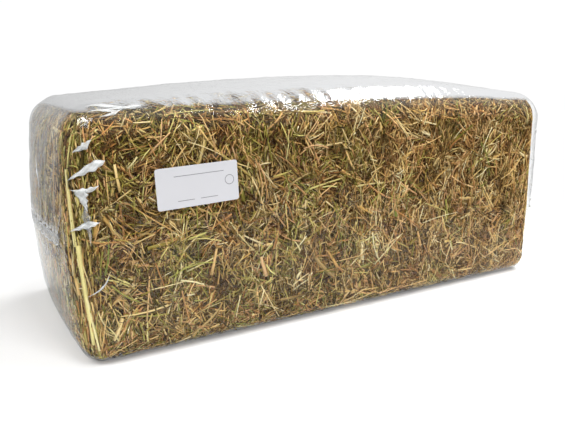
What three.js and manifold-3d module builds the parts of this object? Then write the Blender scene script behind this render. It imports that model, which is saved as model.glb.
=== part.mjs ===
// A pressed hay bale in a clear film wrap, with one paper label on its front.
//
// Millimetres, +Z up, +X along the bale, -Y towards the labelled front.
// The origin is on the floor under the middle of the bale.

import * as THREE from 'three';
import * as BufferGeometryUtils from 'three/addons/utils/BufferGeometryUtils.js';
import Module from 'manifold-3d';

const wasm = await Module();
wasm.setup();

// ---- driving dimensions -------------------------------------------------

const LENGTH = 780;            // between the two ends, at their edges
const DEPTH = 330;             // front to back
const SIDE_HEIGHT = 308;       // at the ends, before the top's crown
const CROWN = 32;              // how far the highest point of the top stands above that
const CROWN_FALL = 0.8;        // share of the crown lost from the centre line to front and back
const CROWN_PLACE = 0.25;      // where the top is highest: share of half the length towards +X
const END_BULGE = 20;          // how far the middle of each end swells out
const BULGE_REACH = 0.2;       // share of half the length over which an end swells

const TOP_RADIUS = 39;         // rounding of the upper long edges
const BOTTOM_RADIUS = 28;      // rounding of the lower long edges
const END_RADIUS = 39;         // rounding of the edges around each end

const FLAKES = 9;              // pressed layers along the bale
const FLAKE_GAP = 0.4;         // between one flake and the next
const FLAKE_CHAMFER = 3;       // how far a flake's rim is rounded in
const FLAKE_SHOULDER = 7;      // how far along the bale that rounding runs

const FILM_WALL = 0.3;         // film, a little thicker than the real one
const HAY_CLEARANCE = 3;       // from the wrap's outside to the mean face of the hay
const HAY_LIFT = 0.9;          // from the floor to the hay, through the film
const LOOSE_END = 9;           // slack in the wrap at the +X end

const SEAM_WIDTH = 14;         // weld fin that lies on each end
const SEAM_LENGTH = 230;
const SEAM_THICKNESS = 0.6;
const SEAM_HEIGHT = 150;       // from the floor to the fin's middle
const MOUTH_WIDTH = 60;        // part of the +X seam that the weld leaves open
const MOUTH_GAP = 2;

const LABEL_WIDTH = 105;
const LABEL_HEIGHT = 50;
const LABEL_CORNER = 3;
const LABEL_THICKNESS = 0.2;
const LABEL_GAP = 0.3;
const LABEL_X = -246;          // the label's middle
const LABEL_Z = 210;
const LABEL_TILT = THREE.MathUtils.degToRad(2.8);

// ---- how finely the skin is faceted --------------------------------------

const CORNER_STEPS = 5;        // round each corner of a section
const TOP_STEPS = 8;           // across the crowned top
const FLAT_STEPS = 3;          // across the front, the back and the bottom
const EDGE_STEPS = 5;          // round the edge of an end
const SPAN_STEPS = 12;         // along the film between its rounded ends
const CAP_STEPS = 5;           // from the rim of an end to its middle
const SEAM_STEPS = 12;         // along a weld fin
const SEAM_ROWS = 2;           // across a weld fin
const LABEL_CORNER_STEPS = 6;  // round each corner of the label
const SHARPEST_CORNER = 1.5;   // smallest corner radius in a section
const SAME_POINT = 1e-4;       // points closer than this are joined before a cut

// ---- the bale's skin ------------------------------------------------------

// Points from a to b, without b.
function spread(a, b, steps) {
  return Array.from({ length: steps }, (_, i) => a + (b - a) * i / steps);
}

// A section of the skin as [y, z] points, anticlockwise seen from +X.
// inset draws the outline in towards an end's edge; offset moves the whole skin inwards.
function section(inset, offset, lift = offset) {
  const halfDepth = DEPTH / 2 - inset - offset;
  const bottom = inset * BOTTOM_RADIUS / END_RADIUS + lift;
  const top = SIDE_HEIGHT - inset - offset;
  const topRadius = Math.max(TOP_RADIUS - inset - offset, SHARPEST_CORNER);
  const bottomRadius = Math.max(BOTTOM_RADIUS - inset - offset, SHARPEST_CORNER);
  const points = [];
  const corner = (side, level, radius, from) => {
    const y = side * (halfDepth - radius);
    const z = level === 'top' ? top - radius : bottom + radius;
    for (let i = 0; i <= CORNER_STEPS; i++) {
      const angle = from + Math.PI / 2 * i / CORNER_STEPS;
      points.push([y + radius * Math.cos(angle), z + radius * Math.sin(angle)]);
    }
  };
  const flat = (to, steps) => {
    const [fromY, fromZ] = points[points.length - 1];
    const [toY, toZ] = to;
    for (let i = 1; i < steps; i++) {
      const share = i / steps;
      points.push([fromY + (toY - fromY) * share, fromZ + (toZ - fromZ) * share]);
    }
  };
  corner(1, 'top', topRadius, 0);
  flat([-(halfDepth - topRadius), top], TOP_STEPS);
  corner(-1, 'top', topRadius, Math.PI / 2);
  flat([-halfDepth, bottom + bottomRadius], FLAT_STEPS);
  corner(-1, 'bottom', bottomRadius, Math.PI);
  flat([halfDepth - bottomRadius, bottom], FLAT_STEPS);
  corner(1, 'bottom', bottomRadius, Math.PI * 3 / 2);
  flat([halfDepth, top - topRadius], FLAT_STEPS);
  return points;
}

// The swelling that pressed hay gives the plain rounded block: a crowned top and domed ends.
function swell(x, y, z) {
  const place = THREE.MathUtils.clamp(x / (LENGTH / 2), -1, 1);
  const along = Math.abs(place);
  const across = Math.min(Math.abs(y) / (DEPTH / 2), 1);
  const up = THREE.MathUtils.clamp(z / SIDE_HEIGHT, 0, 1);
  const slope = (place - CROWN_PLACE) / (place > CROWN_PLACE ? 1 - CROWN_PLACE : 1 + CROWN_PLACE);
  const crown = CROWN * (1 - slope ** 2) * (1 - CROWN_FALL * across ** 2) * up;
  const reach = THREE.MathUtils.smoothstep(along, 1 - BULGE_REACH, 1);
  const dome = END_BULGE * reach * (1 - across ** 2) * (1 - (2 * up - 1) ** 2);
  return [x + Math.sign(x) * dome, y, z + crown];
}

function ring(x, points) {
  return points.map(([y, z]) => swell(x, y, z));
}

// Rings from the rim of an end in to its middle, left out at the middle itself.
function capRings(x, points) {
  const middle = SIDE_HEIGHT / 2;
  return spread(1, 0, CAP_STEPS).slice(1).map((share) =>
    ring(x, points.map(([y, z]) => [y * share, middle + (z - middle) * share])));
}

// Rings round the edge of an end, from the full section out to the rim. side is -1 or 1.
function edgeRings(side, offset, lift, slack = 0) {
  const rings = [];
  for (let i = 0; i <= EDGE_STEPS; i++) {
    const angle = Math.PI / 2 * i / EDGE_STEPS;
    const x = LENGTH / 2 - slack - offset - END_RADIUS * (1 - Math.sin(angle));
    const inset = END_RADIUS * (1 - Math.cos(angle));
    rings.push(ring(side * x, section(inset, offset, lift)));
  }
  const rimX = side * (LENGTH / 2 - slack - offset);
  return rings.concat(capRings(rimX, section(END_RADIUS, offset, lift)));
}

// A closed body through rings that run from -X to +X, with a middle point at each end.
function loft(rings) {
  const around = rings[0].length;
  const middleOf = (points) => points
    .reduce((sum, p) => sum.map((value, axis) => value + p[axis] / around), [0, 0, 0]);
  const vertices = rings.flat();
  const startMiddle = vertices.push(middleOf(rings[0])) - 1;
  const endMiddle = vertices.push(middleOf(rings[rings.length - 1])) - 1;
  const faces = [];
  for (let j = 0; j < around; j++) {
    const next = (j + 1) % around;
    faces.push(startMiddle, next, j);
    const last = (rings.length - 1) * around;
    faces.push(endMiddle, last + j, last + next);
    for (let i = 0; i + 1 < rings.length; i++) {
      const here = i * around;
      const there = here + around;
      faces.push(here + j, here + next, there + next);
      faces.push(here + j, there + next, there + j);
    }
  }
  const geometry = new THREE.BufferGeometry();
  geometry.setAttribute('position', new THREE.Float32BufferAttribute(vertices.flat(), 3));
  geometry.setIndex(faces);
  return geometry;
}

// ---- joining and cutting --------------------------------------------------

function toSolid(geometry) {
  const bare = geometry.clone();
  bare.deleteAttribute('normal');
  bare.deleteAttribute('uv');
  const merged = BufferGeometryUtils.mergeVertices(bare, SAME_POINT);
  return new wasm.Manifold(new wasm.Mesh({
    numProp: 3,
    vertProperties: new Float32Array(merged.attributes.position.array),
    triVerts: new Uint32Array(merged.index.array),
  }));
}

function toGeometry(solid) {
  const mesh = solid.getMesh();
  const geometry = new THREE.BufferGeometry();
  geometry.setAttribute('position', new THREE.BufferAttribute(mesh.vertProperties, 3));
  geometry.setIndex(new THREE.BufferAttribute(mesh.triVerts, 1));
  return geometry;
}

// ---- the pieces -----------------------------------------------------------

const material = {
  hay: new THREE.MeshStandardMaterial({ color: 0x9a7f45, roughness: 0.95, metalness: 0 }),
  film: new THREE.MeshStandardMaterial({ color: 0xe9eef0, roughness: 0.12, metalness: 0 }),
  label: new THREE.MeshStandardMaterial({ color: 0xe6e7ea, roughness: 0.6, metalness: 0 }),
};

function named(name, geometry, finish) {
  geometry.computeVertexNormals();
  const mesh = new THREE.Mesh(geometry, finish);
  mesh.name = name;
  return mesh;
}

// One pressed layer of hay between two planes across the bale. Its rim is rounded in.
function flake(index) {
  const hayStart = -LENGTH / 2 + HAY_CLEARANCE;
  const hayEnd = LENGTH / 2 - LOOSE_END - HAY_CLEARANCE;
  const pitch = (hayEnd - hayStart) / FLAKES;
  const start = hayStart + pitch * index + FLAKE_GAP / 2;
  const end = hayStart + pitch * (index + 1) - FLAKE_GAP / 2;
  const full = section(0, HAY_CLEARANCE, HAY_LIFT);
  const rim = section(FLAKE_CHAMFER, HAY_CLEARANCE, HAY_LIFT);
  const isFirst = index === 0;
  const isLast = index === FLAKES - 1;
  const rings = [];
  if (isFirst) {
    rings.push(...edgeRings(-1, HAY_CLEARANCE, HAY_LIFT).reverse());
  } else {
    rings.push(ring(start, rim), ring(start + FLAKE_SHOULDER, full));
  }
  if (!isFirst && !isLast) {
    rings.push(ring((start + end) / 2, full));
  }
  if (isLast) {
    rings.push(...edgeRings(1, HAY_CLEARANCE, HAY_LIFT, LOOSE_END));
  } else {
    rings.push(ring(end - FLAKE_SHOULDER, full), ring(end, rim));
  }
  return named(`flake_${index + 1}`, loft(rings), material.hay);
}

// The outside of the wrap, or its inside when offset is the film's wall.
function wrapSkin(offset) {
  const left = edgeRings(-1, offset).reverse();
  const right = edgeRings(1, offset);
  const reach = LENGTH / 2 - END_RADIUS - offset;
  const span = spread(-reach, reach, SPAN_STEPS).slice(1)
    .map((x) => ring(x, section(0, offset)));
  return toSolid(loft([...left, ...span, ...right]));
}

// The weld fin that lies flat on an end, as a strip that follows the end's dome.
function seamFin(side) {
  const sinking = FILM_WALL / 2;
  const strip = new THREE.BoxGeometry(
    SEAM_THICKNESS, SEAM_LENGTH, SEAM_WIDTH, 1, SEAM_STEPS, SEAM_ROWS);
  strip.translate(side * (LENGTH / 2 + SEAM_THICKNESS / 2 - sinking), 0, SEAM_HEIGHT);
  const position = strip.attributes.position;
  for (let i = 0; i < position.count; i++) {
    const [x, , ] = swell(side * LENGTH / 2, position.getY(i), position.getZ(i));
    position.setX(i, position.getX(i) + x - side * LENGTH / 2);
  }
  return toSolid(strip);
}

// The open stretch of the +X seam. It reaches from inside the wall to outside it.
function seamMouth() {
  const depth = END_BULGE + 2 * MOUTH_GAP;
  const box = new THREE.BoxGeometry(depth, MOUTH_WIDTH, MOUTH_GAP);
  const below = SEAM_HEIGHT - SEAM_WIDTH / 2 - MOUTH_GAP;
  return toSolid(box.translate(LENGTH / 2 + END_BULGE / 2, 0, below));
}

function film() {
  const wrap = wrapSkin(0)
    .add(seamFin(-1))
    .add(seamFin(1))
    .subtract(wrapSkin(FILM_WALL))
    .subtract(seamMouth());
  return named('film', toGeometry(wrap), material.film);
}

function roundedRectangle(width, height, radius) {
  const x = width / 2;
  const y = height / 2;
  const shape = new THREE.Shape();
  shape.moveTo(-x + radius, -y);
  shape.lineTo(x - radius, -y);
  shape.absarc(x - radius, -y + radius, radius, -Math.PI / 2, 0);
  shape.lineTo(x, y - radius);
  shape.absarc(x - radius, y - radius, radius, 0, Math.PI / 2);
  shape.lineTo(-x + radius, y);
  shape.absarc(-x + radius, y - radius, radius, Math.PI / 2, Math.PI);
  shape.lineTo(-x, -y + radius);
  shape.absarc(-x + radius, -y + radius, radius, Math.PI, Math.PI * 3 / 2);
  return shape;
}

function label() {
  const outline = roundedRectangle(LABEL_WIDTH, LABEL_HEIGHT, LABEL_CORNER);
  const geometry = new THREE.ExtrudeGeometry(outline, {
    depth: LABEL_THICKNESS,
    bevelEnabled: false,
    curveSegments: LABEL_CORNER_STEPS,
  });
  geometry.rotateZ(LABEL_TILT);
  const mesh = named('label', geometry, material.label);
  mesh.rotation.x = Math.PI / 2;
  mesh.position.set(LABEL_X, -DEPTH / 2 - LABEL_GAP, LABEL_Z);
  return mesh;
}

// ---- the bale -------------------------------------------------------------

const bale = new THREE.Group();
for (let index = 0; index < FLAKES; index++) {
  bale.add(flake(index));
}
bale.add(film(), label());

export default bale;
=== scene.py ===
"""Looks of a pressed hay bale in a clear film wrap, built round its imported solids.

Metres, +Z up, +X along the bale, -Y towards the labelled front, origin on the floor.
"""

from math import cos, pi, radians, sin

import bpy
import numpy as np
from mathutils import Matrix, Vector


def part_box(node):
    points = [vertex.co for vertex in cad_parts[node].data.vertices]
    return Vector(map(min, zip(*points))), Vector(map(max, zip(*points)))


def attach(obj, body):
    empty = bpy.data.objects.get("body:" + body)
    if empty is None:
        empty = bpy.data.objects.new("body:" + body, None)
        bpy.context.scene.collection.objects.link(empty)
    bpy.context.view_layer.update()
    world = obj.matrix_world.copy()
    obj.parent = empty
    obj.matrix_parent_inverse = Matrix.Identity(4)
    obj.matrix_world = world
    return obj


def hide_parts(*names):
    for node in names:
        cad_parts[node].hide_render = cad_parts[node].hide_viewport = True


bl_info = {
    "name": "Hay Bale in Film",
    "version": (1, 0, 0),
    "blender": (4, 5, 0),
    "location": "View3D > Sidebar > Hay Bale",
    "description": "Builds a film-wrapped hay bale from pressed flakes, loose stems, film and a label",
    "category": "Add Mesh",
}

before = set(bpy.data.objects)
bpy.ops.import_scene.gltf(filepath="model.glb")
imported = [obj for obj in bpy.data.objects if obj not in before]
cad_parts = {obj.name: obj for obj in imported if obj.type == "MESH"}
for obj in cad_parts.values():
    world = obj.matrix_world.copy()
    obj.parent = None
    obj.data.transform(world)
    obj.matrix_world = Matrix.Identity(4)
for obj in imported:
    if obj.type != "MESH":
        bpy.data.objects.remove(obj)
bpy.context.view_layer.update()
WRAP_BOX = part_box("film")
FLAKES = sorted(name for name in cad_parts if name.startswith("flake_"))
BAKE_MAP = "OFBake"


def srgb(red, green, blue):
    """Display values from 0 to 255 as the linear values that a shader works in."""
    display = np.array([red, green, blue]) / 255
    low, high = display / 12.92, ((display + 0.055) / 1.055) ** 2.4
    return tuple(float(v) for v in np.where(display <= 0.04045, low, high))


# ---- what a user may change ------------------------------------------------


def length(name, description, default):
    """A size in metres."""
    return bpy.props.FloatProperty(
        name=name, description=description, default=default, subtype="DISTANCE", unit="LENGTH"
    )


def share(name, description, default):
    """A share from 0 to 1."""
    return bpy.props.FloatProperty(
        name=name, description=description, default=default, min=0, max=1, subtype="FACTOR"
    )


def colour(name, description, default):
    """A linear colour."""
    return bpy.props.FloatVectorProperty(
        name=name, description=description, default=default, size=3, min=0, max=1, subtype="COLOR"
    )


def turning(name, description, default):
    """An angle in radians, shown in degrees."""
    return bpy.props.FloatProperty(
        name=name, description=description, default=default, subtype="ANGLE", unit="ROTATION"
    )


def power(name, description, default):
    """A lamp's power in watts."""
    return bpy.props.FloatProperty(
        name=name, description=description, default=default, unit="POWER"
    )


class BaleShape(bpy.types.PropertyGroup):
    """The pressed block that hay and film both follow."""

    crown: length("Crown", "How far the highest point of the top stands above its ends", 0.032)
    crown_fall: share("Crown fall", "Share of the crown lost towards front and back", 0.8)
    crown_place: share("Crown place", "Highest point, as a share of half the length to +X", 0.25)
    end_bulge: length("End bulge", "How far the middle of each end swells out", 0.020)
    bulge_reach: share("Bulge reach", "Share of half the length that an end's swelling takes", 0.2)
    top_radius: length("Top rounding", "Radius of the upper long edges", 0.039)
    bottom_radius: length("Bottom rounding", "Radius of the lower long edges", 0.028)
    end_slack: length("End slack", "Room between hay and wrap at the +X end", 0.009)


class HaySettings(bpy.types.PropertyGroup):
    """Loose stems, blades and chaff on the faces of the flakes."""

    seed: bpy.props.IntProperty(name="Seed", description="Start of the random numbers", default=11)
    density: bpy.props.FloatProperty(
        name="Density", description="Loose pieces, against the usual number of each kind", default=1.0
    )
    underside: share("Underside", "Density of the face that rests on the floor", 0.3)
    depth: length("Depth", "How deep the loose layer reaches", 0.0068)
    leaf_green: colour("Leaf green", "Darkest leaves", srgb(136, 146, 70))
    olive: colour("Olive", "Faded leaves", srgb(186, 180, 92))
    young_stem: colour("Young stem", "Yellow-green stems", srgb(244, 232, 152))
    pale_straw: colour("Pale straw", "Bleached stems", srgb(255, 244, 200))
    gold: colour("Gold", "Ripe stems", srgb(255, 222, 148))
    tan: colour("Tan", "Weathered stems", srgb(232, 188, 138))
    rust: colour("Rust", "Reddish blades", srgb(220, 164, 102))
    # Painted shade: this colour is the dark of hay that lies deep or between pieces.
    gap: colour("Gap", "What the deepest and shadiest hay darkens to", srgb(60, 42, 16))
    half: colour("Half shade", "Hay of middling brightness", srgb(224, 206, 174))


class FilmSettings(bpy.types.PropertyGroup):
    """Stretched clear film round the hay."""

    wall: length("Wall", "Thickness of the film", 0.00015)
    crinkle: length("Crinkle", "Height of the small creases", 0.0007)
    gather: length("Gather", "Height of the creases that run into a weld", 0.0012)
    seam_half: length("Half seam", "Half the length of the weld across an end", 0.115)
    seam_height: length("Seam height", "Height of the weld line above the floor", 0.157)
    fin_width: length("Fin width", "Width of the weld fin that lies on an end", 0.014)
    glare: share("Glare", "Share of light that the film reflects when faced squarely", 0.012)
    # Painted sheen: rim glare and the sheen settings below make the upper edges and the top mirror
    # more than a plain film.
    rim_glare: share("Rim glare", "What the upper edges and the top reflect more than that", 0.04)
    falloff: bpy.props.FloatProperty(
        name="Falloff", description="How late the film turns to a mirror as it tilts away", default=6.3
    )
    sheen_start: share("Sheen start", "Tilt away from the eye where the top starts to shine", 0.26)
    sheen_delay: share("Sheen delay", "How much further the level top must tilt than its edges", 0.30)
    sheen_ramp: share("Sheen ramp", "Further tilt over which the shine becomes full", 0.12)
    cut_width: length("Cut width", "Girth of the film tube it was cut from", 1.31)
    cut_length: length("Cut length", "Length of the film tube it was cut from", 1.17)


class LabelSettings(bpy.types.PropertyGroup):
    """Paper label on the front."""

    paper: colour("Paper", "Colour of the paper", srgb(208, 208, 212))
    ink: colour("Ink", "Colour of the ruled marks", srgb(70, 72, 78))
    line: length("Line", "Width of the ruled marks", 0.0007)
    turn: turning("Turn", "How far the label is turned on the bale", radians(2.8))


class StageSettings(bpy.types.PropertyGroup):
    """Floor, light and camera."""

    camera_place: bpy.props.FloatVectorProperty(
        name="Camera place", description="Where the lens is", default=(-0.5003, -0.8128, 0.3329),
        size=3, subtype="TRANSLATION", unit="LENGTH",
    )
    camera_turn: turning("Camera turn", "Turn from +Y towards +X", radians(29.8))
    camera_dip: turning("Camera dip", "Tilt below the horizon", radians(12.8))
    lens: bpy.props.FloatProperty(
        name="Lens", description="Focal length on a 36 mm wide frame", default=37.0,
        subtype="DISTANCE_CAMERA", unit="CAMERA",
    )
    key_light: power("Key light", "Softbox high in front", 26)
    top_light: power("Top light", "Softbox overhead, to the right", 34)
    rim_light: power("Rim light", "Narrow softbox that the upper front edge mirrors", 12)
    side_light: power("Side light", "Softbox on the left", 21)
    ambient: share("Ambient", "Even light from all round", 0.30)
    floor: colour("Floor", "Colour of the floor", srgb(232, 232, 232))
    floor_glow: share("Floor glow", "Light that the floor adds to itself, as a light table does", 0.20)
    floor_radius: length("Floor radius", "Where the floor starts to fade into the white", 0.58)
    floor_fade: length("Floor fade", "How far it takes to fade", 0.45)


# ---- shader maths ----------------------------------------------------------


class Term:
    """A node's output that Python's arithmetic works on. Each operation adds a Math node."""

    def __init__(self, graph, socket):
        self.graph = graph
        self.socket = socket

    def math(self, operation, *values):
        return self.graph.node("ShaderNodeMath", {"operation": operation}, dict(enumerate(values)))

    def __add__(self, other):
        return self.math("ADD", self, other)

    def __radd__(self, other):
        return self.math("ADD", other, self)

    def __sub__(self, other):
        return self.math("SUBTRACT", self, other)

    def __rsub__(self, other):
        return self.math("SUBTRACT", other, self)

    def __mul__(self, other):
        return self.math("MULTIPLY", self, other)

    def __rmul__(self, other):
        return self.math("MULTIPLY", other, self)

    def __truediv__(self, other):
        return self.math("DIVIDE", self, other)

    def __pow__(self, other):
        return self.math("POWER", self, other)

    def __gt__(self, other):
        return self.math("GREATER_THAN", self, other)

    def __lt__(self, other):
        return self.math("LESS_THAN", self, other)

    def largest(self, other):
        return self.math("MAXIMUM", self, other)

    def magnitude(self):
        return self.math("ABSOLUTE", self)

    def clamped(self):
        return self.graph.node("ShaderNodeClamp", {}, {"Value": self})


class Graph:
    """The node tree of a material or of the world, emptied, with one method that adds a node."""

    def __init__(self, owner):
        owner.use_nodes = True
        self.tree = owner.node_tree
        self.tree.nodes.clear()

    def node(self, kind, settings=None, inputs=None, output=0):
        """Adds a node, sets it up, then gives its sockets their values or links."""
        made = self.tree.nodes.new(kind)
        for name, value in (settings or {}).items():
            if name == "stops":
                self.set_stops(made.color_ramp, value)
            else:
                setattr(made, name, value)
        for name, value in (inputs or {}).items():
            socket = made.inputs[name]
            if isinstance(value, Term):
                self.tree.links.new(value.socket, socket)
            else:
                socket.default_value = value
        return Term(self, made.outputs[output]) if made.outputs else None

    @staticmethod
    def set_stops(ramp, stops):
        """stops is [(place, (r, g, b)), ...] from left to right."""
        while len(ramp.elements) < len(stops):
            ramp.elements.new(1)
        for element, (place, tint) in zip(ramp.elements, stops):
            element.position = place
            element.color = (*tint, 1)

    def split(self, vector):
        made = self.tree.nodes.new("ShaderNodeSeparateXYZ")
        self.tree.links.new(vector.socket, made.inputs[0])
        return [Term(self, socket) for socket in made.outputs]

    def mixed(self, amount, first, second, blend="MIX"):
        """A colour mix: amount of second over first."""
        settings = {"data_type": "RGBA", "blend_type": blend}
        return self.node("ShaderNodeMix", settings, {0: amount, 6: first, 7: second}, output=2)

    def noise(self, place, scale, detail=2.0, roughness=0.5):
        inputs = {"Vector": place, "Scale": scale, "Detail": detail, "Roughness": roughness}
        return self.node("ShaderNodeTexNoise", {}, inputs)

    def bump(self, height, distance):
        return self.node("ShaderNodeBump", {}, {"Height": height, "Distance": distance})

    def object_place(self):
        return self.node("ShaderNodeTexCoord", {}, {}, output="Object")

    def attribute(self, name):
        """A number that the mesh keeps at each vertex."""
        return self.node("ShaderNodeAttribute", {"attribute_name": name}, {}, output="Fac")

    def is_ray(self, kind):
        """1 for rays of one kind, Camera or Glossy, and 0 for all others."""
        return self.node("ShaderNodeLightPath", {}, {}, output=f"Is {kind} Ray")

    def principled(self, inputs):
        return self.node("ShaderNodeBsdfPrincipled", {}, inputs)

    def mixed_shader(self, amount, first, second):
        """A Mix Shader: amount of second over first."""
        return self.node("ShaderNodeMixShader", {}, {0: amount, 1: first, 2: second})

    def surface(self, shader):
        self.node("ShaderNodeOutputMaterial", {}, {"Surface": shader})


# Writing lines on the label: height over its middle, start and end. Then the ring: place, radius.
LABEL_LINES = [(0.0135, -0.030, 0.034), (-0.0165, -0.027, -0.006), (-0.0165, 0.002, 0.024)]
LABEL_RING = (0.041, 0.0015, 0.0058)


def opaque(tint):
    """A colour with full alpha."""
    return (*tint, 1)


def hay_material(hay):
    """Every loose piece lies on the bake map by its own tint: across it the hue, up it the shade."""
    material = bpy.data.materials.new("pressed_hay")
    graph = Graph(material)
    uv = graph.node("ShaderNodeUVMap", {"uv_map": BAKE_MAP})
    hue, shade, _ = graph.split(uv)
    tints = [hay.leaf_green, hay.olive, hay.young_stem, hay.pale_straw, hay.gold, hay.tan, hay.rust]
    stops = [(i / (len(tints) - 1), tuple(tint)) for i, tint in enumerate(tints)]
    tint = graph.node("ShaderNodeValToRGB", {"stops": stops}, {"Fac": hue})
    # The shade ramp runs from its darkest colour, which is painted shade, through half shade to white.
    depth_stops = [(0, tuple(hay.gap)), (0.5, tuple(hay.half)), (1, (1, 1, 1))]
    light = graph.node("ShaderNodeValToRGB", {"stops": depth_stops}, {"Fac": shade})
    base = graph.mixed(1.0, tint, light, "MULTIPLY")
    graph.surface(
        graph.principled({"Base Color": base, "Roughness": 0.7, "Specular IOR Level": 0.2})
    )
    return material


# How the film's painted sheen follows its lie: its rims and its top mirror more than a plain
# film. The attribute "top" is 0 where the normal's z is TOP_LOW or less, and 1 where the film lies
# level. The rest are values of "top": where the rim's glare is full, where the sheen starts and
# how soon it is full, and where its delay starts.
TOP_LOW = 0.42
RIM_FULL = 0.2985
LEVEL_START = 0.466
LEVEL_SPAN = 0.1792
DELAY_START = 0.52


def film_material(film):
    """Clear film, part pane and part mirror, and milky where it is gathered. The milky pleats at the
    front's -X edge are partly gathered film and partly painted highlight.

    It mirrors facing^falloff everywhere, and a little more on the rims and the top. Where it lies
    nearly level it turns to a mirror over a short ramp of facing. This extra mirror on the rims and
    the top is painted sheen, stronger than a plain film's. The ramp starts later, by the delay times
    v^2, as v goes from 0 at the rims to 1 on the level top.
    """
    material = bpy.data.materials.new("clear_film")
    graph = Graph(material)
    place = graph.object_place()
    crease = graph.noise(place, 95.0, 3.0, 0.55)
    fine = graph.noise(place, 340.0, 2.0, 0.6)
    normal = graph.bump(crease + fine * 0.3, 0.0011)
    inputs = {"Blend": 0.5, "Normal": normal}
    facing = graph.node("ShaderNodeLayerWeight", {}, inputs, output="Facing")
    top = graph.attribute("top")
    # Painted sheen: the rims and the top mirror more than a plain film does.
    rim = (top / RIM_FULL).clamped() * film.rim_glare
    delay = ((top - DELAY_START) / (1 - DELAY_START)).clamped() ** 2 * film.sheen_delay
    tilted = ((facing - (delay + film.sheen_start)) / film.sheen_ramp).clamped()
    sheen = tilted * ((top - LEVEL_START) / LEVEL_SPAN).clamped()
    steep = sheen.largest(facing**film.falloff) * (1 - film.glare - film.rim_glare)
    clear = graph.node("ShaderNodeBsdfTransparent", {}, {"Color": (0.992, 0.995, 0.995, 1)})
    tint = (0.95, 0.96, 0.97, 1)
    gloss = graph.principled(
        {"Base Color": tint, "Metallic": 1.0, "Roughness": 0.07, "Normal": normal}
    )
    pane = graph.mixed_shader(film.glare + rim + steep, clear, gloss)
    # Milky white of gathered film; in the pleats at the front's -X edge it is partly painted
    # highlight.
    milk = graph.principled(
        {"Base Color": (0.86, 0.88, 0.88, 1), "Roughness": 0.35, "Normal": normal}
    )
    graph.surface(graph.mixed_shader(graph.attribute("haze"), pane, milk))
    return material


def label_material(label):
    """Matt coated paper with a faint tooth, three ruled writing lines and a plain ring.

    The marks are bands of the two ways across the label, which is turned a little on the bale.
    """
    material = bpy.data.materials.new("label_paper")
    graph = Graph(material)
    place = graph.object_place()
    low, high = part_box("label")
    x, _, z = graph.split(place)
    over, up = x - (low[0] + high[0]) / 2, z - (low[2] + high[2]) / 2
    across = over * cos(label.turn) + up * sin(label.turn)
    rise = up * cos(label.turn) - over * sin(label.turn)
    half_line = label.line / 2
    marks = 0
    for level, start, end in LABEL_LINES:
        on_line = (rise - level).magnitude() < half_line
        marks = on_line * (across > start) * (across < end) + marks
    ring_x, ring_z, ring_radius = LABEL_RING
    spread = ((across - ring_x) ** 2 + (rise - ring_z) ** 2) ** 0.5
    marks = marks + ((spread - ring_radius).magnitude() < half_line)
    tooth = graph.noise(place, 1500.0, 2.0)
    mottle = graph.noise(place, 60.0, 3.0)
    tone = graph.mixed(mottle * 0.2, opaque(label.paper), opaque([v * 0.92 for v in label.paper]))
    tone = graph.mixed(marks.clamped() * 0.85, tone, opaque(label.ink))
    normal = graph.bump(tooth, 0.00005)
    graph.surface(graph.principled({"Base Color": tone, "Roughness": 0.42, "Normal": normal}))
    return material


def floor_material(stage):
    """A pale matt floor that fades into the white round it. To the eye it glows a little."""
    material = bpy.data.materials.new("studio_floor")
    graph = Graph(material)
    radius = graph.node(
        "ShaderNodeVectorMath", {"operation": "LENGTH"}, {0: graph.object_place()}, output=1
    )
    solid = (1 - (radius - stage.floor_radius) / stage.floor_fade).clamped()
    glow = graph.mixed(graph.is_ray("Camera"), opaque((0, 0, 0)), opaque((1, 1, 1)))
    inputs = {
        "Base Color": opaque(stage.floor),
        "Roughness": 0.6,
        "Specular IOR Level": 0.0,
        "Emission Color": glow,
        "Emission Strength": stage.floor_glow,
        "Alpha": solid,
    }
    graph.surface(graph.principled(inputs))
    return material


# ---- the block's surface ---------------------------------------------------


def smooth(value):
    """A ramp from 0 to 1 with level ends: 3 v^2 - 2 v^3 of the clamped value."""
    value = np.clip(value, 0, 1)
    return value * value * (3 - 2 * value)


def unit(vectors):
    """The same directions, one metre long."""
    return vectors / np.maximum(np.linalg.norm(vectors, axis=-1, keepdims=True), 1e-12)


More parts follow.
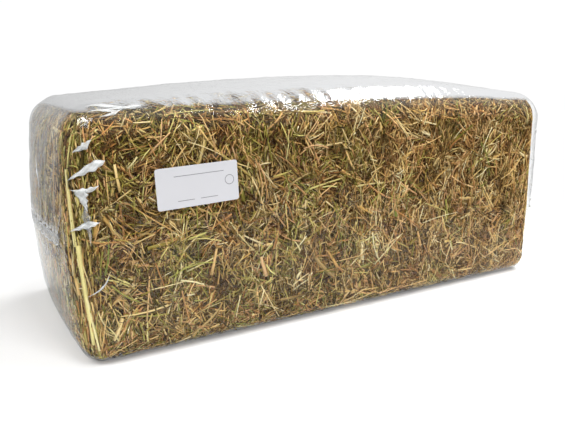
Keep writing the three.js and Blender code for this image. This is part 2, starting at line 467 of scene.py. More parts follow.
class Block:
    """The rounded block that the press makes, before and after it swells."""

    def __init__(self, shape):
        low, high = (np.array(corner) for corner in WRAP_BOX)
        self.shape = shape
        self.half_length = high[0] - shape.end_bulge
        self.half_depth = high[1]
        self.height = high[2] - shape.crown

    @property
    def low(self):
        return np.array([-self.half_length, -self.half_depth, 0.0])

    @property
    def high(self):
        return np.array([self.half_length, self.half_depth, self.height])

    def on_surface(self, points):
        """The block's nearest surface points and their normals.

        A point is clamped into a core that lies one rounding inside the faces. The surface is
        one rounding away from there, on the line back to the point.
        """
        shape = self.shape
        up = smooth(points[..., 2] / self.height)
        radius = shape.bottom_radius + (shape.top_radius - shape.bottom_radius) * up
        radius = radius[..., None]
        inner = np.clip(points, self.low + radius, self.high - radius)
        normal = unit(points - inner)
        return inner + radius * normal, normal

    def reach(self, along):
        """From 0 to 1 over the last stretch before an end, for shares of half the length."""
        stretch = self.shape.bulge_reach
        return smooth((along - 1 + stretch) / stretch)

    def swell(self, points):
        """Adds the crown and the domed ends.

        The crown is 1 - s^2 along, with s from 0 at its highest place to 1 at either end, and
        1 - fall y^2 across, and it fades to the floor. The dome is 1 - y^2 across and
        1 - (2 z - 1)^2 up, over the last stretch of the length.
        """
        shape = self.shape
        place = np.clip(points[..., 0] / self.half_length, -1, 1)
        past = place - shape.crown_place
        slope = past / np.where(past > 0, 1 - shape.crown_place, 1 + shape.crown_place)
        across = np.minimum(np.abs(points[..., 1]) / self.half_depth, 1)
        up = np.clip(points[..., 2] / self.height, 0, 1)
        crown = shape.crown * (1 - slope**2) * (1 - shape.crown_fall * across**2) * up
        reach = self.reach(np.abs(place))
        dome = shape.end_bulge * reach * (1 - across**2) * (1 - (2 * up - 1) ** 2)
        moved = points.copy()
        moved[..., 0] += np.sign(points[..., 0]) * dome
        moved[..., 2] += crown
        return moved

    def draw_in(self, points):
        """Pulls the hay's +X end back from the wrap by the slack, over the end's swelling."""
        moved = points.copy()
        moved[..., 0] -= self.shape.end_slack * self.reach(points[..., 0] / self.half_length)
        return moved

    def outline(self, steps):
        """Points [y, z] round the block's section, with steps points on front, bottom, back, top."""
        front, bottom, back, top = steps
        depth, height = self.half_depth, self.height

        def line(a, b, count):
            share_along = np.arange(count)[:, None] / count
            return np.array(a) + (np.array(b) - np.array(a)) * share_along

        return np.concatenate([
            line((-depth, height), (-depth, 0), front),
            line((-depth, 0), (depth, 0), bottom),
            line((depth, 0), (depth, height), back),
            line((depth, height), (-depth, height), top),
        ])


def ripple(points, rng, wavelength, waves=7):
    """A smooth random field from about -1 to 1: sines in random directions, by 1 / sqrt(waves)."""
    heading = unit(rng.normal(size=(waves, 3)))
    pitch = 2 * pi / (wavelength * rng.uniform(0.6, 1.6, waves))
    phase = rng.uniform(0, 2 * pi, waves)
    turns = points @ (heading * pitch[:, None]).T + phase
    return np.sin(turns).sum(-1) * (0.98 / np.sqrt(waves))


# ---- meshes from arrays ----------------------------------------------------


def mesh_object(name, vertices, quads, triangles, material, uv=None):
    """A mesh object from arrays of corners. uv holds a place on the bake map for each vertex."""
    quads = np.asarray(quads, np.int32).reshape(-1, 4)
    triangles = np.asarray(triangles, np.int32).reshape(-1, 3)
    corners = np.concatenate([quads.ravel(), triangles.ravel()])
    starts = np.concatenate([
        np.arange(len(quads)) * 4,
        quads.size + np.arange(len(triangles)) * 3,
    ])
    mesh = bpy.data.meshes.new(name)
    mesh.vertices.add(len(vertices))
    mesh.loops.add(len(corners))
    mesh.polygons.add(len(starts))
    mesh.vertices.foreach_set("co", np.asarray(vertices, np.float32).ravel())
    mesh.loops.foreach_set("vertex_index", corners.astype(np.int32))
    mesh.polygons.foreach_set("loop_start", starts.astype(np.int32))
    mesh.update(calc_edges=True)
    mesh.validate()
    if uv is not None:
        layer = mesh.uv_layers.new(name=BAKE_MAP, do_init=False)
        layer.uv.foreach_set("vector", uv[corners].astype(np.float32).ravel())
    mesh.materials.append(material)
    piece = bpy.data.objects.new(name, mesh)
    bpy.context.scene.collection.objects.link(piece)
    return piece


def strip_faces(rows, columns):
    """Quads of a grid whose rows are closed rings."""
    row = np.arange(rows - 1)[:, None] * columns
    here = np.arange(columns)
    after = (here + 1) % columns
    return np.stack(
        [row + here, row + after, row + columns + after, row + columns + here], axis=-1
    ).reshape(-1, 4)


# ---- hay -------------------------------------------------------------------

# Families of loose pieces: their number, shortest and longest, narrowest and widest,
# thickness to width, and how many stretches they bend in. Millimetres, and to a square metre.
CHAFF = {"rate": 64000, "long": (5, 18), "wide": (0.9, 2.3), "flat": 0.9}
BLADES = {"rate": 25000, "long": (12, 40), "wide": (1.0, 2.3), "flat": 0.32, "bends": 2}
STEMS = {"rate": 8500, "long": (30, 85), "wide": (1.2, 2.8), "flat": 0.45, "bends": 3}
LEAVES = {"rate": 1700, "long": (18, 55), "wide": (3.0, 6.5), "flat": 0.12, "bends": 3}
STALKS = {"rate": 1500, "long": (55, 170), "wide": (1.1, 2.9), "flat": 0.4, "bends": 7}
BENT = [BLADES, STEMS, LEAVES, STALKS]

# Groups of shades, dark, middling and bright, and how much of the hay is dark, and not bright.
SHADES = [(0.03, 0.20), (0.29, 0.57), (0.82, 1.0)]
DARK_SHARE, DULL_SHARE = 0.34, 0.62

# Middle and spread of each kind's hue, as a place on the ramp of tints.
HUES = {
    "ripe": (0.60, 0.08),
    "green": (0.24, 0.12),
    "brown": (0.80, 0.08),
    "rust": (0.96, 0.03),
    "stalk": (0.46, 0.09),
}

# Share of the pieces that lie in order, and the spread of their angle, in radians.
UPRIGHT = (0.35, 0.45)
COMBED = (0.70, 0.24)
BY_EDGE = (0.70, 0.22)
STALK_SPREAD = 0.13

# Long pale stalks down the labelled front's -X edge: top, bottom and width. Metres.
CORNER_STALKS = [
    ((-0.3885, -0.138, 0.236), (-0.387, -0.146, 0.148), 0.0040),
    ((-0.3875, -0.142, 0.214), (-0.3835, -0.151, 0.110), 0.0028),
    ((-0.3845, -0.150, 0.150), (-0.380, -0.158, 0.030), 0.0060),
    ((-0.3830, -0.154, 0.096), (-0.3745, -0.1615, 0.022), 0.0038),
]

# Faces of the block: the axis they face along, and which way.
FACES = [(1, -1), (1, 1), (2, 1), (2, -1), (0, -1), (0, 1)]
PRISM = np.array([[-0.5, -0.35], [0.5, -0.35], [0.08, 0.65]])
SLIVER_FACES = np.array([[0, 2, 1], [1, 2, 3], [0, 3, 2], [0, 1, 3]])
SKIN_GAP = 0.0005
TINT_WIDTH = 0.008
NO_QUADS = np.zeros((0, 4), int)
NO_TRIANGLES = np.zeros((0, 3), int)


def scattered(block, rng, density, underside, span):
    """Places on the block's faces between two planes across it, with the two ways along each."""
    places, ways, sides = [], [], []
    at_end = {-1: span[0] < block.low[0] + 1e-6, 1: span[1] > block.high[0] - 1e-6}
    for axis, sign in FACES:
        low, high = block.low, block.high
        if axis == 0 and not at_end[sign]:
            continue
        if axis != 0:
            low[0], high[0] = span
        size = high - low
        size[axis] = 1
        rate = density * (underside if (axis, sign) == (2, -1) else 1)
        count = int(rate * size.prod())
        spots = low + (high - low) * rng.random((count, 3))
        spots[:, axis] = low[axis] if sign < 0 else high[axis]
        first, second = (a for a in range(3) if a != axis)
        places.append(spots)
        ways.append(np.broadcast_to(np.eye(3)[[first, second]], (count, 2, 3)))
        sides.append(np.full(count, axis))
    return np.concatenate(places), np.concatenate(ways), np.concatenate(sides)


def by_upright_edge(block, places, sides):
    """Whether a piece lies near one of the four upright edges, at a height where a stalk fits."""
    near_end = np.abs(places[:, 0]) > 0.95 * block.half_length
    near_side = np.abs(places[:, 1]) > 0.72 * block.half_depth
    middle, room = 0.15, 0.10
    return near_end & near_side & (np.abs(places[:, 2] - middle) < room) & (sides != 2)


def headings(block, rng, places, sides):
    """Each piece's direction along its face.

    It is random, or upright as a flake's hay lies, or along the local lie where it is combed.
    Near the upright edges and on the ends most pieces stand upright.
    """
    lie_seed = np.random.default_rng(5)
    count = len(places)
    lie = pi * ripple(places, lie_seed, 0.11)
    combed = ripple(places, lie_seed, 0.07) > 0.1
    angle = rng.uniform(0, pi, count)
    share_upright, spread = UPRIGHT
    angle = np.where(rng.random(count) < share_upright, rng.normal(pi / 2, spread, count), angle)
    share_combed, spread = COMBED
    combed &= rng.random(count) < share_combed
    angle = np.where(combed, lie + rng.normal(0, spread, count), angle)
    share_by_edge, spread = BY_EDGE
    by_edge = (np.abs(places[:, 0]) > 0.94 * block.half_length) & (sides != 2)
    by_edge &= rng.random(count) < share_by_edge
    return np.where(by_edge, rng.normal(pi / 2, spread, count), angle)


def ways_along(angle, ways):
    """Unit vectors ahead and to the side of pieces that lie at an angle on their faces."""
    ahead = np.cos(angle) * ways[:, 0] + np.sin(angle) * ways[:, 1]
    aside = -np.sin(angle) * ways[:, 0] + np.cos(angle) * ways[:, 1]
    return ahead, aside


def rolled(normal, along, roll):
    """The two ways across a piece, flat and upright, turned about its line by the roll."""
    across = unit(np.cross(normal, unit(along)))
    flat = across * np.cos(roll) + normal * np.sin(roll)
    upright = normal * np.cos(roll) - across * np.sin(roll)
    return flat, upright


def tints(block, rng, places, deep, family):
    """Hue and shade from 0 to 1: greener at the -X end, browner in patches, and darker in the depth,
    which is painted shade.

    Shades come in three groups, dark, middling and bright, and flakes part in a darker line of
    painted shade.
    """
    patch_seed = np.random.default_rng(8)
    count = len(places)
    along = places[:, 0] / block.half_length
    green = 0.25 - 0.18 * along + 0.26 * ripple(places, patch_seed, 0.10)
    brown = 0.35 + 0.08 * along + 0.26 * ripple(places, patch_seed, 0.07)
    pick = rng.random(count)
    hue = rng.normal(*HUES["ripe"], count)
    hue = np.where(pick < green, rng.normal(*HUES["green"], count), hue)
    hue = np.where(pick > 1 - brown, rng.normal(*HUES["brown"], count), hue)
    hue = np.where(rng.random(count) < 0.015, rng.normal(*HUES["rust"], count), hue)
    group = rng.random(count) + (0.2 if family is STEMS else 0.0)
    dark, middling, bright = (rng.uniform(*span, count) for span in SHADES)
    shade = np.where(group < DULL_SHARE, middling, bright)
    shade = np.where(group < DARK_SHARE, dark, shade)
    patch_and_parting_shade = 1 + 0.26 * ripple(places, patch_seed, 0.07)
    # Painted shade: the hay is darkened in a line where two flakes part.
    edges = np.linspace(-block.half_length, block.half_length, len(FLAKES) + 1)[1:-1]
    parting = np.abs(places[:, :1] - edges).min(1)
    patch_and_parting_shade = patch_and_parting_shade * (1 - 0.35 * bell(parting, 0, 0.006))
    # Painted shade: a piece is coloured darker the deeper it lies.
    shade = shade * patch_and_parting_shade * (1 - 0.60 * deep)
    if family is STALKS:
        hue = rng.normal(*HUES["stalk"], count)
        shade = rng.uniform(0.40, 1.0, count)
    return np.clip(hue, 0.02, 0.98), np.clip(shade, 0.02, 0.98)


def prisms(block, line, wide, thick, roll, sink, taper):
    """Thin prisms along lines of points that are laid onto the block: vertices, quads, triangles.

    The section is a flat triangle, turned about the line by the roll. sink lies along the
    block's normal, and taper scales the section, both given for every point of every line.
    """
    line, normal = block.on_surface(line)
    flat, upright = rolled(normal, np.gradient(line, axis=1), roll[:, None, None])
    width = PRISM[:, 0] * (wide[:, None] * taper)[..., None]
    height = PRISM[:, 1] * (thick[:, None] * taper)[..., None]
    section = flat[:, :, None] * width[..., None] + upright[:, :, None] * height[..., None]
    points = line[:, :, None] + normal[:, :, None] * sink[:, :, None, None] + section
    vertices = block.swell(block.draw_in(points)).reshape(-1, 3)
    (count, rings), corners = line.shape[:2], len(PRISM)
    first = (np.arange(count) * rings * corners)[:, None, None]
    quads = (first + strip_faces(rings, corners)[None]).reshape(-1, 4)
    ends = np.array([[2, 1, 0], [0, 1, 2]]) + np.array([[0], [(rings - 1) * corners]])
    triangles = (first + ends[None]).reshape(-1, 3)
    return vertices, quads, triangles


def prism_places(hue, shade, fade, rings):
    """Bake-map places of prisms: a sliver each round its hue and shade, which drifts by fade."""
    size = (len(hue), rings, len(PRISM))
    drift = fade[:, None] * np.linspace(-1, 1, rings)
    hues = np.broadcast_to(hue[:, None, None] + np.array([-1, 1, 0]) * TINT_WIDTH, size)
    shades = (shade[:, None] + drift)[:, :, None] + np.array([-1, 0, 1]) * TINT_WIDTH
    return np.stack([hues, np.clip(shades, 0.01, 0.99)], axis=-1).reshape(-1, 2)


def loose_pieces(block, hay, rng, span, family):
    """Thin bent prisms that lie on the block: vertices, quads, triangles and bake-map places.

    A piece's middle line is straight with a slight bow, s^2 to the side, and it tapers at one end.
    """
    rate = hay.density * family["rate"]
    places, ways, sides = scattered(block, rng, rate, hay.underside, span)
    if family is STALKS:
        kept = by_upright_edge(block, places, sides)
        places, ways, sides = places[kept], ways[kept], sides[kept]
    count, bends = len(places), family["bends"]
    long = rng.uniform(*family["long"], count) * rng.uniform(0.6, 1.0, count) * 1e-3
    wide = rng.uniform(*family["wide"], count) * 1e-3
    thick = wide * family["flat"]
    angle = headings(block, rng, places, sides)
    if family is STALKS:
        angle = rng.normal(pi / 2, STALK_SPREAD, count)
    ahead, aside = ways_along(angle[:, None], ways)
    step = np.linspace(-0.5, 0.5, bends + 1)
    bow = rng.normal(0, 0.045, count)
    run = long[:, None, None] * step[None, :, None]
    sag = (long * bow)[:, None, None] * (4 * step**2)[None, :, None]
    line = places[:, None] + ahead[:, None] * run + aside[:, None] * sag
    roll = rng.normal(0, 0.42, count)
    deep = rng.random(count) ** 0.8 * (0.6 if family is STALKS else 1)
    tilt = rng.normal(0, 0.0011, count)[:, None] * step * 2
    reach = 0.5 * wide * np.abs(np.sin(roll)) + 0.65 * thick
    sink = -SKIN_GAP - reach[:, None] - np.maximum(deep[:, None] * hay.depth * 0.8 + tilt, 0)
    taper = 1 - 0.6 * rng.random(count)[:, None] * (step + 0.5) ** 2
    vertices, quads, triangles = prisms(block, line, wide, thick, roll, sink, taper)
    hue, shade = tints(block, rng, places, deep, family)
    uv = prism_places(hue, shade, rng.normal(0, 0.09, count), bends + 1)
    return vertices, quads, triangles, uv


def slivers(block, hay, rng, span):
    """Short chaff, each piece a thin four-sided splinter: two corners at one end, two at the other.

    The first end is a short line across the piece, the second a shorter one turned upright.
    """
    places, ways, sides = scattered(block, rng, hay.density * CHAFF["rate"], hay.underside, span)
    count = len(places)
    long = rng.uniform(*CHAFF["long"], count) * 1e-3
    wide = rng.uniform(*CHAFF["wide"], count) * 1e-3
    ahead, _ = ways_along(headings(block, rng, places, sides)[:, None], ways)
    ends = places[:, None] + ahead[:, None] * (long[:, None] * np.array([-0.5, 0.5]))[..., None]
    ends, normal = block.on_surface(ends)
    roll = rng.normal(0, 0.6, count)[:, None, None]
    flat, upright = rolled(normal, ends[:, 1:] - ends[:, :1], roll)
    deep = rng.random(count) ** 0.8
    tip = rng.normal(0, 0.0012, count)[:, None] * np.array([-1, 1])
    half = wide[:, None] * 0.5
    sink = -SKIN_GAP - half - np.maximum(deep[:, None] * hay.depth * 0.8 + tip, 0)
    ends = ends + normal * sink[..., None]
    first_side = flat[:, 0] * half
    last_side = upright[:, 1] * half * CHAFF["flat"]
    corners = [
        ends[:, 0] - first_side,
        ends[:, 0] + first_side,
        ends[:, 1] - last_side,
        ends[:, 1] + last_side,
    ]
    vertices = block.swell(block.draw_in(np.stack(corners, axis=1))).reshape(-1, 3)
    first = (np.arange(count) * 4)[:, None, None]
    triangles = (first + SLIVER_FACES).reshape(-1, 3)
    hue, shade = tints(block, rng, places, deep, CHAFF)
    fade = rng.normal(0, 0.07, count)[:, None] * np.array([-1, -1, 1, 1])
    hues = hue[:, None] + np.array([-1, 1, 0, 0]) * TINT_WIDTH
    shades = shade[:, None] + fade + np.array([0, 0, 1, -1]) * TINT_WIDTH
    uv = np.stack([hues, np.clip(shades, 0.01, 0.99)], axis=-1).reshape(-1, 2)
    return vertices, NO_QUADS, triangles, uv


def corner_stalks(block):
    """The long pale stalks down the front's -X edge, each a straight line laid onto the block."""
    rng = np.random.default_rng(23)
    tops, bottoms, wide = (np.array(column) for column in zip(*CORNER_STALKS))
    count, rings = len(wide), 14
    step = np.linspace(0, 1, rings)
    line = tops[:, None] + (bottoms - tops)[:, None] * step[None, :, None]
    sink = np.full((count, rings), -0.0014)
    taper = 1 - 0.25 * step**2 + rng.normal(0, 0.05, (count, rings))
    roll = rng.normal(0, 0.12, count)
    vertices, quads, triangles = prisms(block, line, wide, wide * 0.35, roll, sink, taper)
    hue = rng.uniform(0.34, 0.46, count)
    shade, fade = np.full(count, 0.93), np.full(count, 0.04)
    return vertices, quads, triangles, prism_places(hue, shade, fade, rings)


def flake_core(block, hay, rng, span):
    """The packed inside of a flake: rings of the block's section with a lumpy surface. Its dark
    colour is painted shade for the depths of the hay.

    An end flake also has rings that shrink onto the middle of the bale's end.
    """
    outline = block.outline((44, 30, 44, 44))
    middle = np.array([0, block.height / 2])

    def ring(x, share_left=1.0):
        section = middle + (outline - middle) * share_left
        return np.column_stack([np.full(len(outline), x), section])

    rings = [ring(x) for x in np.linspace(*span, 14)]
    shares = np.linspace(0.06, 0.98, 16)
    if span[0] <= -block.half_length + 1e-6:
        rings = [ring(span[0], s) for s in shares] + rings
    if span[1] >= block.half_length - 1e-6:
        rings = rings + [ring(span[1], s) for s in shares[::-1]]
    points = np.stack(rings)
    surface, normal = block.on_surface(points)
    lumps = 0.0016 * ripple(points, np.random.default_rng(3), 0.012, 9)
    lumps += rng.normal(0, 0.0005, points.shape[:2])
    surface = surface + normal * (lumps - hay.depth)[..., None]
    surface = block.swell(block.draw_in(surface))
    quads, triangles = tube_faces(*surface.shape[:2])
    centres = np.stack([surface[0].mean(0), surface[-1].mean(0)])
    vertices = np.concatenate([surface.reshape(-1, 3), centres])
    count = len(vertices)
    # Painted shade: the core is coloured nearly as dark as the bottom of the shade ramp.
    uv = np.stack([rng.uniform(0.55, 0.9, count), rng.uniform(0.02, 0.16, count)], axis=-1)
    return vertices, quads, triangles, uv


def joined(parts):
    """One set of arrays from several: vertices, quads, triangles and two numbers a vertex."""
    moved, first = [], 0
    for vertices, quads, triangles, looks in parts:
        moved.append((vertices, quads + first, triangles + first, looks))
        first += len(vertices)
    return tuple(np.concatenate(each) for each in zip(*moved))


# ---- film ------------------------------------------------------------------

# The wrap's grid: points on the front, bottom, back and top of a ring, rings along the sides,
# and rings from an end's rim to its weld.
AROUND_STEPS = (80, 14, 40, 42)
SPAN_RINGS = 190
CAP_RINGS = 21

# Grids of a pleat and of a weld fin: points along, and points across one side.
PLEAT_STEPS = (26, 7)
FIN_STEPS = (70, 7)

# How milky the fins and the pleats of the other edges are.
FIN_HAZE = 0.22
PLEAT_HAZE = 0.7

# Pleats at the labelled front's -X edge: start, end, width, how far along it is widest (from 0 to
# 1), sideways bow, milkiness. Metres, on the block before it swells. Their milky white is partly
# stacked film and partly painted highlight.
PLEATS = [
    ((-0.383, -0.149, 0.255), (-0.366, -0.162, 0.270), 0.0080, 0.6, 0.0, 0.85),
    ((-0.354, -0.165, 0.246), (-0.387, -0.143, 0.224), 0.0110, 0.22, 0.001, 0.95),
    ((-0.386, -0.145, 0.214), (-0.362, -0.164, 0.219), 0.0060, 0.7, -0.002, 0.85),
    ((-0.377, -0.158, 0.217), (-0.374, -0.159, 0.190), 0.0150, 0.12, 0.0, 0.9),
    ((-0.3765, -0.158, 0.196), (-0.3735, -0.160, 0.150), 0.0085, 0.25, 0.002, 0.22),
    ((-0.364, -0.164, 0.177), (-0.387, -0.143, 0.166), 0.0085, 0.3, 0.0, 0.95),
    ((-0.381, -0.156, 0.090), (-0.357, -0.165, 0.117), 0.0022, 0.5, -0.004, 0.9),
    ((-0.374, -0.136, 0.299), (-0.322, -0.150, 0.300), 0.0060, 0.6, 0.0, 0.55),
    ((-0.366, -0.147, 0.295), (-0.334, -0.153, 0.297), 0.0050, 0.7, 0.001, 0.65),
    ((-0.356, -0.156, 0.291), (-0.329, -0.152, 0.299), 0.0045, 0.6, -0.001, 0.6),
    ((-0.350, -0.150, 0.298), (-0.305, -0.149, 0.302), 0.0060, 0.8, 0.0, 0.7),
    ((-0.389, -0.006, 0.236), (-0.390, -0.040, 0.200), 0.0060, 0.5, 0.002, 0.95),
]


def span_stations(reach, steps):
    """Places of the rings along the bale: closer together towards both ends."""
    along = np.linspace(-1, 1, steps)
    return reach * (along * 0.55 + np.sin(along * pi / 2) * 0.45)


def wrap_grid(block, film):
    """The wrap before it creases, as rings of points from the -X weld to the +X weld.

    Along the sides a ring is the block's section. On an end it shrinks onto the weld line:
    its height goes to nothing, and its width to the weld's.
    """
    outline = block.outline(AROUND_STEPS)
    middle = film.seam_height
    seam_share = film.seam_half / block.half_depth

    def ring(x, share_left=1.0):
        y = outline[:, 0] * (seam_share + (1 - seam_share) * share_left)
        z = middle + (outline[:, 1] - middle) * share_left
        return np.column_stack([np.full(len(outline), x), y, z])

    shares = np.linspace(0, 1, CAP_RINGS, endpoint=False) ** 0.85
    shares[0] = 0.0015
    reach = block.half_length
    rings = [ring(-reach, s) for s in shares]
    rings += [ring(x) for x in span_stations(reach, SPAN_RINGS)]
    rings += [ring(reach, s) for s in shares[::-1]]
    surface, _ = block.on_surface(np.stack(rings))
    return surface


def grid_normals(points):
    """Outward normals of a closed ring grid, from the differences along it and round it."""
    along = np.gradient(points, axis=0)
    around = np.roll(points, -1, axis=1) - np.roll(points, 1, axis=1)
    return unit(np.cross(around, along))


def bell(value, middle, width):
    """e^(-d^2), with d the distance from the middle in widths."""
    return np.exp(-(((value - middle) / width) ** 2))


def gathering(block, film, points):
    """Creases that run into a weld: waves along the weld, turned round its two ends.

    Their height falls away from the weld as e^(-distance / 50 mm).
    """
    rng = np.random.default_rng(31)
    y, z = points[..., 1], points[..., 2]
    weld_y = np.clip(y, -film.seam_half, film.seam_half)
    away_y, away_z = y - weld_y, z - film.seam_height
    turn = np.arctan2(away_y, np.abs(away_z) + 1e-6)
    place = weld_y + turn * 0.045
    side = np.sign(away_z) * 0.5 + np.sign(points[..., 0])
    waves = 0
    for _ in range(5):
        pitch, start, turned = rng.uniform(0.010, 0.034), rng.uniform(0, 6), rng.uniform(0, 6)
        waves = waves + np.sin(place * 2 * pi / pitch + start + side * turned)
    distance = np.hypot(away_y, away_z)
    on_end = smooth(np.abs(points[..., 0]) / block.half_length * 20 - 18.6)
    return film.gather * np.exp(-distance / 0.05) * on_end * (waves / 5 + 0.5)


def pull_in(block, points):
    """Where the wrap at the +X end lies against the drawn-back hay: its lower part only."""
    low = 1 - smooth((points[..., 2] - 0.08) / 0.09)
    return 0.8 * block.shape.end_slack * block.reach(points[..., 0] / block.half_length) * low


def under_label(points):
    """1 where the wrap lies under the label, and 0 from a margin round it outwards."""
    low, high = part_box("label")
    margin = 0.008
    flat = points[..., 1] < 0
    for axis in (0, 2):
        past = np.maximum(low[axis] - points[..., axis], points[..., axis] - high[axis])
        flat = flat * smooth((margin - past) / margin)
    return flat


def creases(block, film, points):
    """How far each point of the wrap stands off the taut surface.

    Small creases run everywhere but under the label. Along the upper long edges the film bunches
    in short waves.
    """
    rng = np.random.default_rng(21)
    small = 0.5 + 0.5 * ripple(points, rng, 0.016, 9)
    broad = 0.5 + 0.5 * ripple(points, rng, 0.045, 7)
    bunched = 0.5 + 0.5 * ripple(points * np.array([1, 0.25, 0.25]), rng, 0.022, 8)
    inset, width = 0.01, 0.03
    edge = bell(points[..., 2], block.height - inset, width)
    edge = edge * bell(np.abs(points[..., 1]), block.half_depth - inset, width)
    height = 0.0002 + film.crinkle * (small + 0.8 * broad) + 0.0011 * edge * bunched
    return height * (1 - under_label(points)) + gathering(block, film, points)


def tube_faces(rows, columns):
    """Quads of a tube's wall, and the triangles that close its ends onto the two last points."""
    ring = np.arange(columns)
    after = (ring + 1) % columns
    last = (rows - 1) * columns
    start, end = rows * columns, rows * columns + 1
    triangles = np.concatenate([
        np.stack([np.full(columns, start), after, ring], axis=-1),
        np.stack([np.full(columns, end), last + ring, last + after], axis=-1),
    ])
    return strip_faces(rows, columns), triangles


def there_and_back(first, last, count):
    """Even steps from first to last on a strip's one side, and back again on its other."""
    steps = np.linspace(first, last, count)
    return np.concatenate([steps, steps[-2:0:-1]])[None]


def pleat(block, start, end, width, peak, bow):
    """A narrow fold of spare film that lies on the wrap: a flat ragged triangle.

    Along it, it widens in a straight line to its peak and narrows again: min(s / p,
    (1 - s) / (1 - p)). One side takes most of the width, the other stays nearly straight.
    Its upper side rises as 1 - t^2 across. bow bends its middle line to one side.
    """
    rows, across = PLEAT_STEPS
    s = np.linspace(0, 1, rows)[:, None]
    half = width * np.maximum(np.minimum(s / peak, (1 - s) / (1 - peak)), 0.01)
    t = there_and_back(-1, 1, across)
    upper = np.arange(t.size) < across
    start, end = np.array(start), np.array(end)
    middle = start + (end - start) * s
    middle, normal = block.on_surface(middle)
    sideways = unit(np.cross(normal, unit(np.gradient(middle, axis=0))))
    turn = 900 * start.sum()
    full = half * (0.75 + 0.07 * np.sin(s * 19 + turn))
    slight = half * (0.25 + 0.12 * np.sin(s * 27 + 2 * turn))
    offset = np.where(t < 0, full, slight) * t + bow * 4 * s * (1 - s)
    points, normal = block.on_surface(middle[:, None] + sideways[:, None] * offset[..., None])
    lift = 0.0009 + upper * (1 - t**2) * 0.2 * half * (1 + 0.5 * np.sin(s * 17 + t * 3))
    points = block.swell(points + normal * lift[..., None])
    ends = np.stack([points[0].mean(0), points[-1].mean(0)])
    quads, triangles = tube_faces(rows, t.size)
    streaks = 0.72 + 0.28 * np.sin(t * 5 + s * 9 + turn) * np.cos(s * 23 + t * 2)
    milk = np.append(streaks.ravel(), [0.7, 0.7])
    return np.concatenate([points.reshape(-1, 3), ends]), quads, triangles, milk


def weld_fin(block, film, side):
    """The weld's fin: a strip that hangs from the weld line and lies on the end, slightly wavy."""
    rng = np.random.default_rng(40 + side)
    steps, rows = FIN_STEPS
    down = there_and_back(0, 1, rows)
    outer = np.arange(down.size) < rows
    y = np.linspace(-film.seam_half, film.seam_half, steps)[:, None]
    z = film.seam_height - film.fin_width * down
    points = np.stack(np.broadcast_arrays(side * block.half_length, y, z), axis=-1)
    wave = 0.5 + 0.5 * ripple(points, rng, 0.02, 6)
    lift = 0.0007 + down * (0.0004 + 0.0014 * wave) + outer * film.wall * 2
    points = block.swell(points)
    points[..., 0] += side * lift
    points[..., 0] -= pull_in(block, points)
    ends = np.stack([points[0].mean(0), points[-1].mean(0)])
    quads, triangles = tube_faces(steps, down.size)
    if side > 0:
        quads, triangles = quads[:, ::-1], triangles[:, ::-1]
    vertices = np.concatenate([points.reshape(-1, 3), ends])
    return vertices, quads, triangles, np.ones(len(vertices))


def other_pleats(block, rng):
    """Pleats on the three upright edges at the back and at +X, at random heights."""
    made = []
    for end_side, depth_side in ((1, -1), (1, 1), (-1, 1)):
        for height in rng.uniform(0.08, 0.27, 5):
            reach = rng.uniform(0.016, 0.036)
            start = (end_side * block.half_length, depth_side * (block.half_depth - 0.018), height)
            rise = rng.uniform(0.002, 0.02)
            end_x = end_side * (block.half_length - reach)
            end = (end_x, depth_side * block.half_depth, height + rise)
            width, peak = rng.uniform(0.003, 0.009), rng.uniform(0.1, 0.9)
            made.append((start, end, width, peak, 0.0, PLEAT_HAZE))
    return made


def wrap_skins(block, film):
    """The outer and the inner skin, joined at the weld slits, and how level each point lies."""
    taut = wrap_grid(block, film)
    outside = block.swell(taut)
    outside = outside + grid_normals(outside) * creases(block, film, taut)[..., None]
    outside[..., 0] -= pull_in(block, taut)
    outside[..., 2] = np.maximum(outside[..., 2], 0.0)
    inside = outside - grid_normals(outside) * film.wall
    inside[..., 2] = np.maximum(inside[..., 2], film.wall)
    rows, columns = outside.shape[:2]
    count = rows * columns
    faces = strip_faces(rows, columns)
    ring = np.arange(columns)
    after = (ring + 1) % columns
    last = count - columns
    rims = np.concatenate([
        np.stack([ring + count, after + count, after, ring], axis=-1),
        np.stack([last + ring, last + after, last + after + count, last + ring + count], axis=-1),
    ])
    quads = np.concatenate([faces, faces[:, ::-1] + count, rims])
    vertices = np.concatenate([outside.reshape(-1, 3), inside.reshape(-1, 3)])
    _, normal = block.on_surface(taut)
    top = np.clip((normal[..., 2] - TOP_LOW) / (1 - TOP_LOW), 0, 1)
    return vertices, quads, np.tile(top.ravel(), 2)


def film_piece(block, film, material):
    """The wrap with its fins and pleats, as one mesh. It keeps its haze and lie at each vertex."""
    vertices, quads, top = wrap_skins(block, film)
    parts = [(vertices, quads, NO_TRIANGLES, np.column_stack([0 * top, top]))]
    strips = [(*weld_fin(block, film, side), FIN_HAZE) for side in (-1, 1)]
    for *lie, milk in PLEATS + other_pleats(block, np.random.default_rng(17)):
        strips.append((*pleat(block, *lie), milk))
    for points, four, three, streaks, milk in strips:
        parts.append((points, four, three, np.column_stack([streaks * milk, 0 * streaks])))
    vertices, quads, triangles, looks = joined(parts)
    piece = mesh_object("film_wrap", vertices, quads, triangles, material)
    for column, name in enumerate(("haze", "top")):
        layer = piece.data.attributes.new(name, "FLOAT", "POINT")
        layer.data.foreach_set("value", looks[:, column].astype(np.float32))
    piece.data.shade_smooth()
    return piece


# ---- operators -------------------------------------------------------------


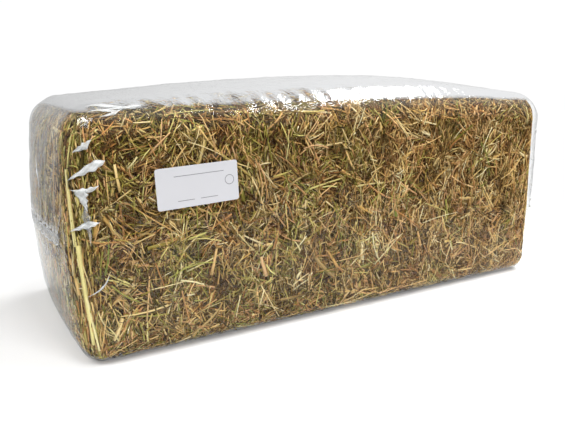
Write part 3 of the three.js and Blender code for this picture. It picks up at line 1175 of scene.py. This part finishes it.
class BALE_OT_hay(bpy.types.Operator):
    """Builds the nine flakes of hay, each a lumpy core under loose stems, blades and chaff"""

    bl_idname = "bale.hay"
    bl_label = "Pressed hay"

    def execute(self, context):
        scene = context.scene
        block = Block(scene.bale_shape)
        hay = scene.bale_hay
        material = hay_material(hay)
        edges = np.linspace(-block.half_length, block.half_length, len(FLAKES) + 1)
        for index, node in enumerate(FLAKES):
            rng = np.random.default_rng(hay.seed + index)
            span = (edges[index], edges[index + 1])
            parts = [flake_core(block, hay, rng, span), slivers(block, hay, rng, span)]
            parts += [loose_pieces(block, hay, rng, span, family) for family in BENT]
            if index == 0:
                parts.append(corner_stalks(block))
            vertices, quads, triangles, uv = joined(parts)
            piece = mesh_object(f"hay_{node}", vertices, quads, triangles, material, uv)
            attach(piece, "root")
            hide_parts(node)
        return {"FINISHED"}


class BALE_OT_film(bpy.types.Operator):
    """Stretches the clear film round the hay"""

    bl_idname = "bale.film"
    bl_label = "Film wrap"

    def execute(self, context):
        scene = context.scene
        film = scene.bale_film
        piece = film_piece(Block(scene.bale_shape), film, film_material(film))
        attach(piece, "root")
        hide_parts("film")
        return {"FINISHED"}


class BALE_OT_label(bpy.types.Operator):
    """Gives the label its paper"""

    bl_idname = "bale.label"
    bl_label = "Label"

    def execute(self, context):
        node = bpy.data.objects["label"]
        material = label_material(context.scene.bale_label)
        for slot in node.material_slots:
            slot.material = material
        return {"FINISHED"}


# Each softbox: its place, what it faces, its two sides, and whether the film mirrors it. Metres.
SOFTBOXES = {
    "key": ((0.1, -1.6, 1.9), (0, 0, 0.15), (0.9, 0.7), False),
    "top": ((0.9, 0, 1.6), (0.2, 0, 0.3), (2.0, 1.0), False),
    "rim": ((1.0, -0.21, 1.6), (0.2, 0, 0.3), (1.9, 0.085), True),
    "side": ((-1.5, -0.6, 1.7), (-0.3, 0, 0.15), (0.7, 0.7), True),
}

# How bright the room is that the film mirrors: in front, and what is added behind, above, and
# above on the right. White is what the eye sees round the floor.
ROOM = {"front": 0.04, "behind": 0.56, "above": 0.57, "right": 0.26}
WHITE = 1.02


def softbox(name, power_in_watts, place, aim, size, mirrored):
    """A rectangular area light at place that faces aim."""
    light = bpy.data.lights.new(name, "AREA")
    light.shape = "RECTANGLE"
    light.size, light.size_y = size
    light.energy = power_in_watts
    lamp = bpy.data.objects.new(name, light)
    lamp.location = place
    lamp.rotation_euler = (Vector(aim) - Vector(place)).to_track_quat("-Z", "Y").to_euler()
    lamp.visible_glossy = mirrored
    bpy.context.scene.collection.objects.link(lamp)


def studio_world(ambient):
    """Soft even light. Mirror images see a room that is dark in front, grey behind and pale above.

    To the eye it is plain white.
    """
    world = bpy.data.worlds.new("studio")
    bpy.context.scene.world = world
    graph = Graph(world)
    heading = graph.node("ShaderNodeTexCoord", {}, {}, output="Generated")
    right, back, up = graph.split(heading)
    behind = ((back + 0.15) / 0.5).clamped() * ROOM["behind"]
    above = ((up - 0.02) / 0.08).clamped()
    pale = ((right + 0.1) / 0.7).clamped() * ROOM["right"] + ROOM["above"]
    room = behind.largest(above * pale) + ROOM["front"]
    seen, mirrored = graph.is_ray("Camera"), graph.is_ray("Glossy")
    unseen = room * mirrored + ambient * (1 - mirrored)
    strength = unseen * (1 - seen) + seen * WHITE
    inputs = {"Color": opaque((1, 1, 1)), "Strength": strength}
    shader = graph.node("ShaderNodeBackground", {}, inputs)
    graph.node("ShaderNodeOutputWorld", {}, {"Surface": shader})


def floor_piece(stage):
    """One square that reaches to where the floor has faded, a hair under the bale."""
    half, level = stage.floor_radius + stage.floor_fade, -0.0002
    corners = [(x * half, y * half, level) for x, y in ((-1, -1), (1, -1), (1, 1), (-1, 1))]
    return mesh_object("floor", corners, [(0, 1, 2, 3)], [], floor_material(stage))


def camera_holder(stage):
    """The camera, level from side to side, turned and dipped towards the bale."""
    camera = bpy.data.cameras.new("camera")
    camera.sensor_width = 36.0
    camera.lens = stage.lens
    holder = bpy.data.objects.new("camera", camera)
    holder.location = stage.camera_place
    holder.rotation_euler = (pi / 2 - stage.camera_dip, 0, -stage.camera_turn)
    bpy.context.scene.collection.objects.link(holder)
    return holder


class BALE_OT_stage(bpy.types.Operator):
    """Sets the floor, the soft lights and the camera"""

    bl_idname = "bale.stage"
    bl_label = "Stage"

    def execute(self, context):
        scene = context.scene
        stage = scene.bale_stage
        floor = floor_piece(stage)
        studio_world(stage.ambient)
        for name, setting in SOFTBOXES.items():
            softbox(f"{name}_softbox", getattr(stage, f"{name}_light"), *setting)
        scene.camera = camera_holder(stage)
        scene.view_settings.view_transform = "Standard"
        return {"FINISHED"}


class BALE_PT_panel(bpy.types.Panel):
    """Lists the bale's pieces in the sidebar"""

    bl_idname = "BALE_PT_panel"
    bl_label = "Hay Bale"
    bl_space_type = "VIEW_3D"
    bl_region_type = "UI"
    bl_category = "Hay Bale"

    def draw(self, context):
        for step in STEPS:
            self.layout.operator(step.bl_idname)


GROUPS = {
    "bale_shape": BaleShape,
    "bale_hay": HaySettings,
    "bale_film": FilmSettings,
    "bale_label": LabelSettings,
    "bale_stage": StageSettings,
}
STEPS = (BALE_OT_stage, BALE_OT_hay, BALE_OT_film, BALE_OT_label)


def register():
    for made in (*GROUPS.values(), *STEPS, BALE_PT_panel):
        bpy.utils.register_class(made)
    for name, group in GROUPS.items():
        setattr(bpy.types.Scene, name, bpy.props.PointerProperty(type=group))


def unregister():
    for name in GROUPS:
        delattr(bpy.types.Scene, name)
    for made in reversed((*GROUPS.values(), *STEPS, BALE_PT_panel)):
        bpy.utils.unregister_class(made)


def main():
    """Builds the stage and the bale."""
    register()
    bpy.ops.bale.stage()
    bpy.ops.bale.hay()
    bpy.ops.bale.film()
    bpy.ops.bale.label()


if __name__ == "__main__":
    main()
